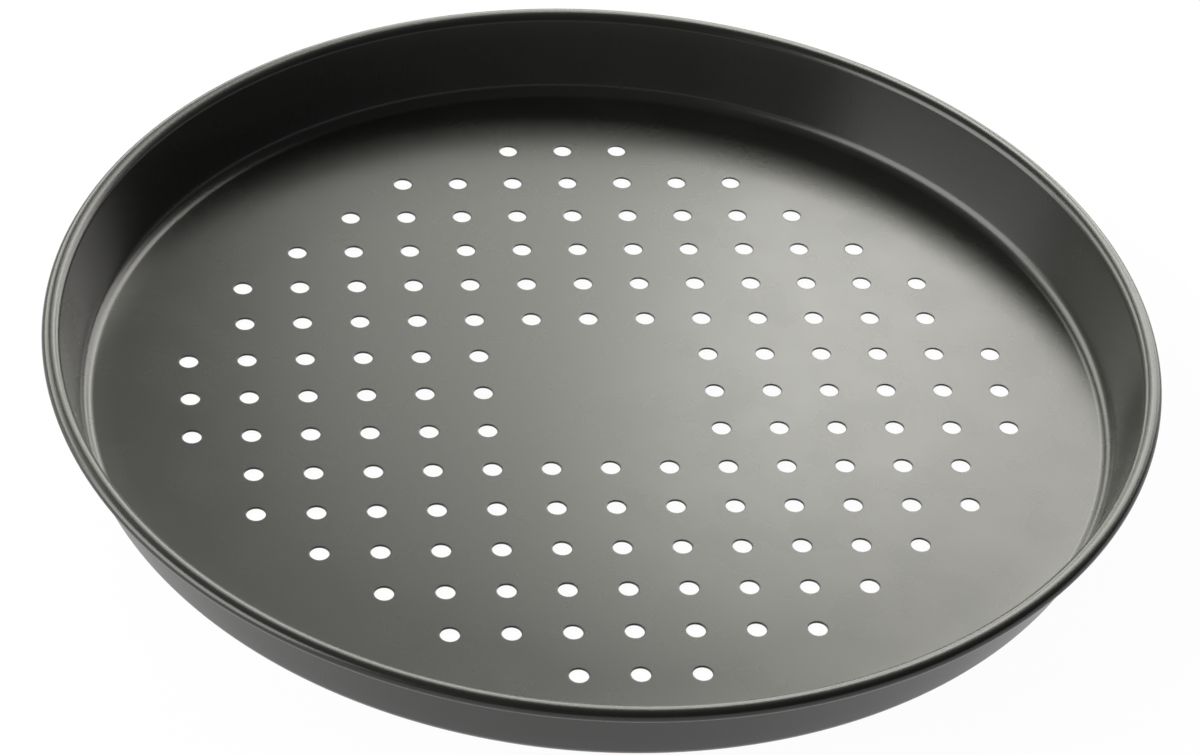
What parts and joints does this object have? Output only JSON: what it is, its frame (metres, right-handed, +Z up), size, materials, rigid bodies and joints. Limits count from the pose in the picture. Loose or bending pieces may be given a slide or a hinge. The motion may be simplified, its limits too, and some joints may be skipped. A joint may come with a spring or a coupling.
{
  "type": "pizza pan",
  "caption": "Round non-stick pizza pan with a perforated, slightly crowned base, a low flared wall and a rolled edge over a wire ring.",
  "frame": {"origin": "centre of the pan on the surface it stands on", "axes": "+Z up out of the pan; +X and +Y along the rows and columns of the hole grid"},
  "size_m": [0.285, 0.285, 0.023],
  "materials": {
    "non_stick_steel": "satin dark grey non-stick coating on drawn steel sheet",
    "edge_wire": "plain drawn steel wire, hidden in the rolled edge"
  },
  "bodies": {
    "root": {"pan_shell": "non_stick_steel", "rim_wire": "edge_wire"}
  },
  "joints": []
}
